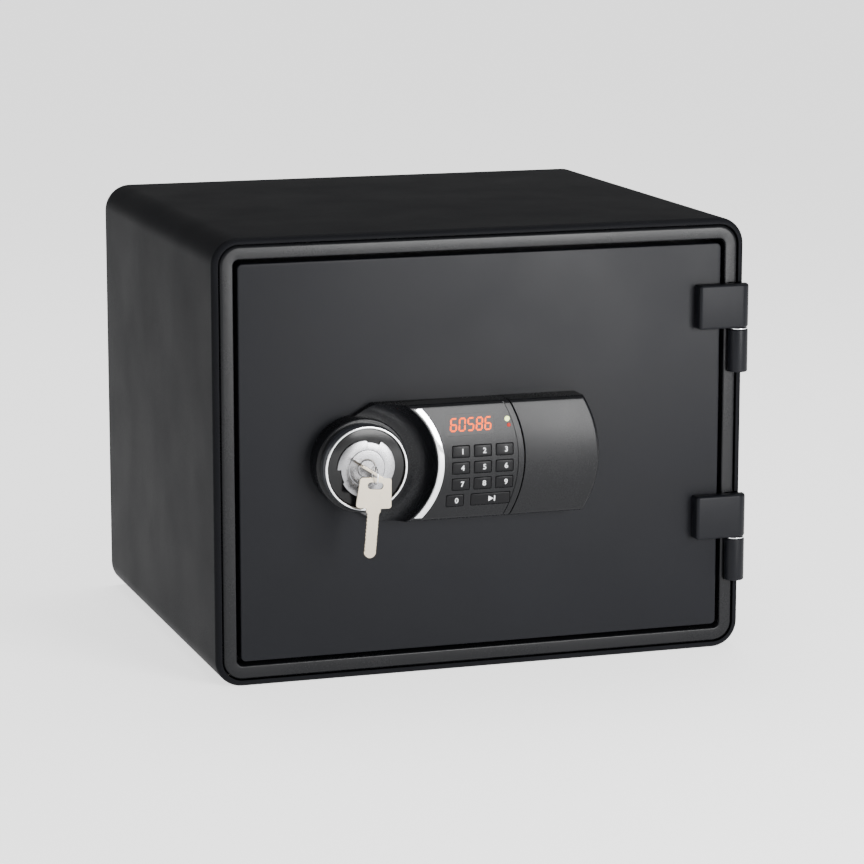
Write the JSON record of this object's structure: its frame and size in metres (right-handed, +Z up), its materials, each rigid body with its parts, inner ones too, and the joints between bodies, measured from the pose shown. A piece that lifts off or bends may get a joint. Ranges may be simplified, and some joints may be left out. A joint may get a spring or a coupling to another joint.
{
  "type": "in room safe",
  "caption": "Insulated in-room safe with a hinged plug door, live-bolt knob, key lock and electronic keypad with battery cover.",
  "frame": {"origin": "centre of the base's outline, on the floor (z = 0)", "axes": "+Z up, -Y out of the door's front face, +X towards the hinge side seen from the front"},
  "size_m": [0.4501, 0.4349, 0.36],
  "materials": {
    "black_powder_coat": "satin",
    "black_abs": "satin",
    "black_gloss_abs": "gloss",
    "insulation_fill": "matte",
    "plain_steel": "satin",
    "zinc_steel": "satin",
    "bright_chrome": "polished",
    "satin_nickel": "satin",
    "key_nickel": "satin",
    "seal_rubber": "matte",
    "display_smoke": "gloss",
    "display_orange": "matte",
    "green_lens": "gloss",
    "red_lens": "gloss",
    "circuit_green": "satin",
    "cell_jacket": "gloss",
    "key_caps": "satin"
  },
  "bodies": {
    "safe_body": {"outer_shell": "black_powder_coat", "back_panel": "black_powder_coat", "front_frame": "black_abs", "body_insulation": "insulation_fill", "inner_liner": "black_abs", "anchor_sleeves": "zinc_steel", "keeper_plates": "plain_steel", "hinge_knuckles": "black_powder_coat", "hinge_pins": "plain_steel", "hinge_washers": "bright_chrome", "hinge_screws": "zinc_steel"},
    "door": {"door_panel": "black_powder_coat", "door_insulation": "insulation_fill", "door_back_plate": "black_powder_coat", "door_inner_cover": "black_abs", "door_seal": "seal_rubber", "hinge_leaves": "black_powder_coat", "fixed_dogs": "plain_steel", "bolt_guide": "zinc_steel", "cover_screws": "zinc_steel", "lock_housing": "black_abs", "knob_collar": "black_abs", "chrome_arc": "bright_chrome", "display_window": "display_smoke", "display_module": "display_orange", "green_led": "green_lens", "red_led": "red_lens", "circuit_board": "circuit_green", "batteries": "cell_jacket", "battery_contacts": "plain_steel", "solenoid_body": "zinc_steel", "lock_cable": "seal_rubber", "cable_grommet": "seal_rubber"},
    "battery_lid": {"battery_cover": "black_abs"},
    "knob": {"knob_body": "black_gloss_abs", "chrome_ring": "bright_chrome", "lock_rosette": "satin_nickel", "lock_cylinder": "satin_nickel", "spindle": "plain_steel", "crank_disc": "plain_steel"},
    "bolt_work": {"bolt_carriage": "zinc_steel", "carriage_tongue": "zinc_steel", "locking_bolts": "bright_chrome"},
    "plunger": {"solenoid_plunger": "plain_steel"},
    "key_plug": {"lock_plug": "satin_nickel", "lock_cam": "plain_steel"},
    "door_key": {"inserted_key": "key_nickel"},
    "ring": {"key_ring": "bright_chrome"},
    "spare": {"spare_key": "key_nickel"},
    "button_0": {"key_0": "key_caps"},
    "button_1": {"key_1": "key_caps"},
    "button_2": {"key_2": "key_caps"},
    "button_3": {"key_3": "key_caps"},
    "button_4": {"key_4": "key_caps"},
    "button_5": {"key_5": "key_caps"},
    "button_6": {"key_6": "key_caps"},
    "button_7": {"key_7": "key_caps"},
    "button_8": {"key_8": "key_caps"},
    "button_9": {"key_9": "key_caps"},
    "button_start": {"key_start": "key_caps"}
  },
  "joints": [
    {"name": "door_swing", "type": "hinge", "parent": "safe_body", "child": "door", "pos_m": [0.2179, -0.19075, 0.18], "axis": [0, 0, 1], "range_deg": [0, 120]},
    {"name": "battery_cover_slide", "type": "slide", "parent": "door", "child": "battery_lid", "axis": [1, 0, 0], "range_m": [0, 0.055]},
    {"name": "knob_turn", "type": "hinge", "parent": "door", "child": "knob", "pos_m": [-0.108, -0.187, 0.1775], "axis": [0, -1, 0], "range_deg": [0, 90]},
    {"name": "bolt_slide", "type": "slide", "parent": "door", "child": "bolt_work", "axis": [-1, 0, 0], "range_m": [0, 0.01717]},
    {"name": "plunger_lift", "type": "slide", "parent": "door", "child": "plunger", "axis": [0, 0, 1], "range_m": [0, 0.005]},
    {"name": "key_turn", "type": "hinge", "parent": "knob", "child": "key_plug", "pos_m": [-0.108, -0.187, 0.1775], "axis": [0, -1, 0], "range_deg": [0, 90]},
    {"name": "key_withdraw", "type": "slide", "parent": "key_plug", "child": "door_key", "axis": [0, -1, 0], "range_m": [0, 0.03]},
    {"name": "ring_swing", "type": "hinge", "parent": "door_key", "child": "ring", "pos_m": [-0.108, -0.2401, 0.1775], "axis": [0, 1, 0], "range_deg": [-20, 20]},
    {"name": "spare_key_swing", "type": "hinge", "parent": "ring", "child": "spare", "pos_m": [-0.108, -0.2401, 0.1765], "axis": [-1, 0, 0], "range_deg": [0, 20]},
    {"name": "press_0", "type": "slide", "parent": "door", "child": "button_0", "axis": [0, 1, 0], "range_m": [0, 0.0012], "stiffness_N_per_m": 600, "springref_m": -0.001},
    {"name": "press_1", "type": "slide", "parent": "door", "child": "button_1", "axis": [0, 1, 0], "range_m": [0, 0.0012], "stiffness_N_per_m": 600, "springref_m": -0.001},
    {"name": "press_2", "type": "slide", "parent": "door", "child": "button_2", "axis": [0, 1, 0], "range_m": [0, 0.0012], "stiffness_N_per_m": 600, "springref_m": -0.001},
    {"name": "press_3", "type": "slide", "parent": "door", "child": "button_3", "axis": [0, 1, 0], "range_m": [0, 0.0012], "stiffness_N_per_m": 600, "springref_m": -0.001},
    {"name": "press_4", "type": "slide", "parent": "door", "child": "button_4", "axis": [0, 1, 0], "range_m": [0, 0.0012], "stiffness_N_per_m": 600, "springref_m": -0.001},
    {"name": "press_5", "type": "slide", "parent": "door", "child": "button_5", "axis": [0, 1, 0], "range_m": [0, 0.0012], "stiffness_N_per_m": 600, "springref_m": -0.001},
    {"name": "press_6", "type": "slide", "parent": "door", "child": "button_6", "axis": [0, 1, 0], "range_m": [0, 0.0012], "stiffness_N_per_m": 600, "springref_m": -0.001},
    {"name": "press_7", "type": "slide", "parent": "door", "child": "button_7", "axis": [0, 1, 0], "range_m": [0, 0.0012], "stiffness_N_per_m": 600, "springref_m": -0.001},
    {"name": "press_8", "type": "slide", "parent": "door", "child": "button_8", "axis": [0, 1, 0], "range_m": [0, 0.0012], "stiffness_N_per_m": 600, "springref_m": -0.001},
    {"name": "press_9", "type": "slide", "parent": "door", "child": "button_9", "axis": [0, 1, 0], "range_m": [0, 0.0012], "stiffness_N_per_m": 600, "springref_m": -0.001},
    {"name": "press_start", "type": "slide", "parent": "door", "child": "button_start", "axis": [0, 1, 0], "range_m": [0, 0.0012], "stiffness_N_per_m": 600, "springref_m": -0.001}
  ],
  "couplings": [
    {"joint": "bolt_slide", "follows": "knob_turn", "m_per_rad": 0.010804}
  ]
}
